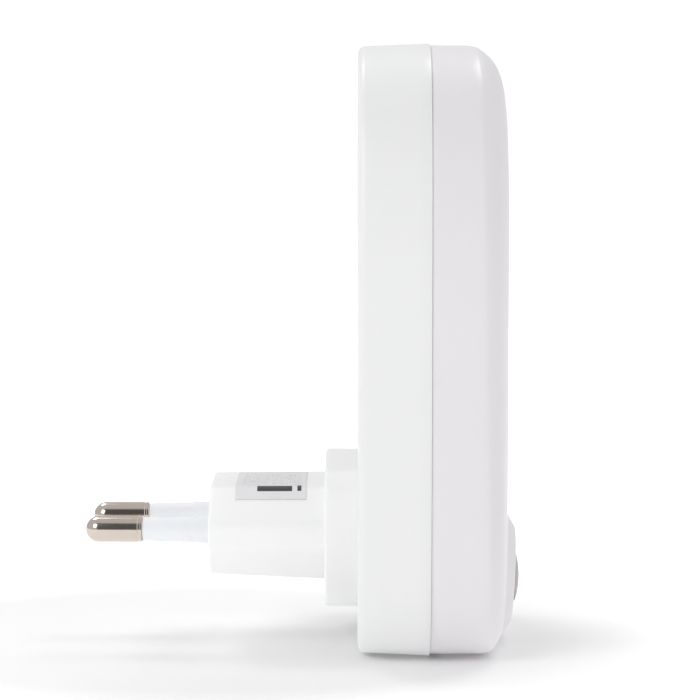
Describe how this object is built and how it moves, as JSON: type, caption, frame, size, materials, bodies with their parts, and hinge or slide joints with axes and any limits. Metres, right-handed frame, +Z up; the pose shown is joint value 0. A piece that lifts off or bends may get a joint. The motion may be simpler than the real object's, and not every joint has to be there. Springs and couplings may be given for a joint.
{
  "type": "plug-in power meter",
  "caption": "White two-shell plug-in power meter case with a mains plug on its back, a display window and a round push button on a raised pad.",
  "frame": {"origin": "centre of the plug block's end face, midway between the two contact pins", "axes": "+Y out along the pins, away from the case; +Z up; the display and button face -Y"},
  "size_m": [0.064, 0.0666, 0.0921],
  "materials": {
    "white_shell": "satin moulded ABS, bright white",
    "lilac_shell": "smooth moulded polycarbonate, very pale lilac white",
    "plug_plastic": "satin moulded, white",
    "sleeve_plastic": "smooth nylon, cool white",
    "plated_pin": "nickel plated, polished, warm grey",
    "label_film": "printed silver-grey film",
    "clear_window": "clear, lightly smoked",
    "display_glass": "grey-green liquid crystal glass",
    "pale_plastic": "moulded",
    "dark_rubber": "soft",
    "button_metal": "metallic satin grey-beige lacquer",
    "dark_plastic": "moulded epoxy or plastic",
    "cream_plastic": "moulded",
    "board_green": "glass-epoxy board with solder mask",
    "bare_metal": "tinned or plated",
    "screw_steel": "zinc plated",
    "paper_sheet": "insulating sheet",
    "resistor_body": "flame-proof lacquer",
    "blue_disc": "epoxy dipped",
    "yellow_box": "moulded box",
    "choke_body": "sleeved",
    "can_sleeve": "aluminium can in a printed sleeve",
    "transformer_core": "ferrite core with yellow tape"
  },
  "bodies": {
    "case": {"rear_shell": "white_shell", "front_shell": "lilac_shell", "plug_block": "plug_plastic", "pin_left": "plated_pin", "pin_right": "plated_pin", "sleeve_left": "sleeve_plastic", "sleeve_right": "sleeve_plastic", "rating_label": "label_film", "window_lens": "clear_window", "lens_gasket": "dark_rubber", "display_glass": "display_glass", "display_frame": "pale_plastic", "backlight": "pale_plastic", "connector_strips": "dark_rubber", "switch_housing": "dark_plastic", "main_board": "board_green", "controller_chip": "dark_plastic", "clock_crystal": "bare_metal", "radio_module": "bare_metal", "antenna": "bare_metal", "board_header": "dark_plastic", "insulator_sheet": "paper_sheet", "power_board": "board_green", "safety_resistor": "resistor_body", "surge_disc": "blue_disc", "filter_capacitor": "yellow_box", "bridge_rectifier": "dark_plastic", "storage_capacitors": "can_sleeve", "line_choke": "choke_body", "transformer": "transformer_core", "supply_chip": "dark_plastic", "optocoupler": "cream_plastic", "output_capacitor": "can_sleeve", "case_screws": "screw_steel", "plug_screws": "screw_steel", "power_board_screws": "screw_steel", "main_board_screws": "screw_steel"},
    "button": {"button_cap": "button_metal"},
    "plunger": {"switch_plunger": "cream_plastic"}
  },
  "joints": [
    {"name": "button_press", "type": "slide", "parent": "case", "child": "button", "axis": [0, 1, 0], "range_m": [0, 0.0005]},
    {"name": "switch_press", "type": "slide", "parent": "case", "child": "plunger", "axis": [0, 1, 0], "range_m": [0, 0.0005]}
  ],
  "couplings": [
    {"joint": "switch_press", "follows": "button_press", "ratio": 1}
  ]
}
